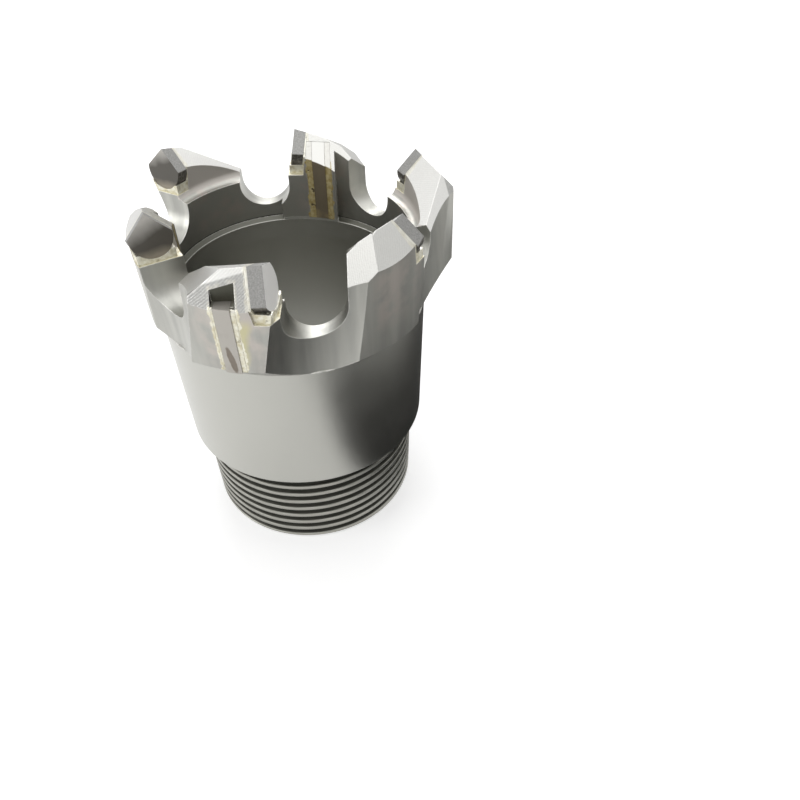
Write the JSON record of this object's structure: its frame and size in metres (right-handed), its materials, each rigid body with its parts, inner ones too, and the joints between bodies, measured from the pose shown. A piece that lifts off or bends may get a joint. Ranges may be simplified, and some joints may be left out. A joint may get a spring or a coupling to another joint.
{
  "type": "core drill bit",
  "caption": "Steel core drill bit with a threaded shank, round-bottomed waterways and brazed compact cutters standing alternately outward and inward round the crown.",
  "frame": {"origin": "on the bit's axis, in the lower end face of the threaded shank", "axes": "+Z along the axis from the shank to the crown; -Y towards the side the picture shows; seen from +Z the cutters face anticlockwise"},
  "size_m": [0.1025, 0.1017, 0.1276],
  "materials": {
    "bit_steel": "bead-blasted, satin, ground bright on the tooth tops",
    "cutter": "lapped dark grey",
    "hard_metal": "ground matt",
    "braze": "as solidified"
  },
  "bodies": {
    "root": {"bit_body": "bit_steel", "cutter_1": "cutter", "gauge_bar_1": "hard_metal", "cutter_braze_1": "braze", "bar_braze_1": "braze", "cutter_2": "cutter", "gauge_bar_2": "hard_metal", "cutter_braze_2": "braze", "bar_braze_2": "braze", "cutter_3": "cutter", "gauge_bar_3": "hard_metal", "cutter_braze_3": "braze", "bar_braze_3": "braze", "cutter_4": "cutter", "gauge_bar_4": "hard_metal", "cutter_braze_4": "braze", "bar_braze_4": "braze", "cutter_5": "cutter", "gauge_bar_5": "hard_metal", "cutter_braze_5": "braze", "bar_braze_5": "braze", "cutter_6": "cutter", "gauge_bar_6": "hard_metal", "cutter_braze_6": "braze", "bar_braze_6": "braze"}
  },
  "joints": []
}
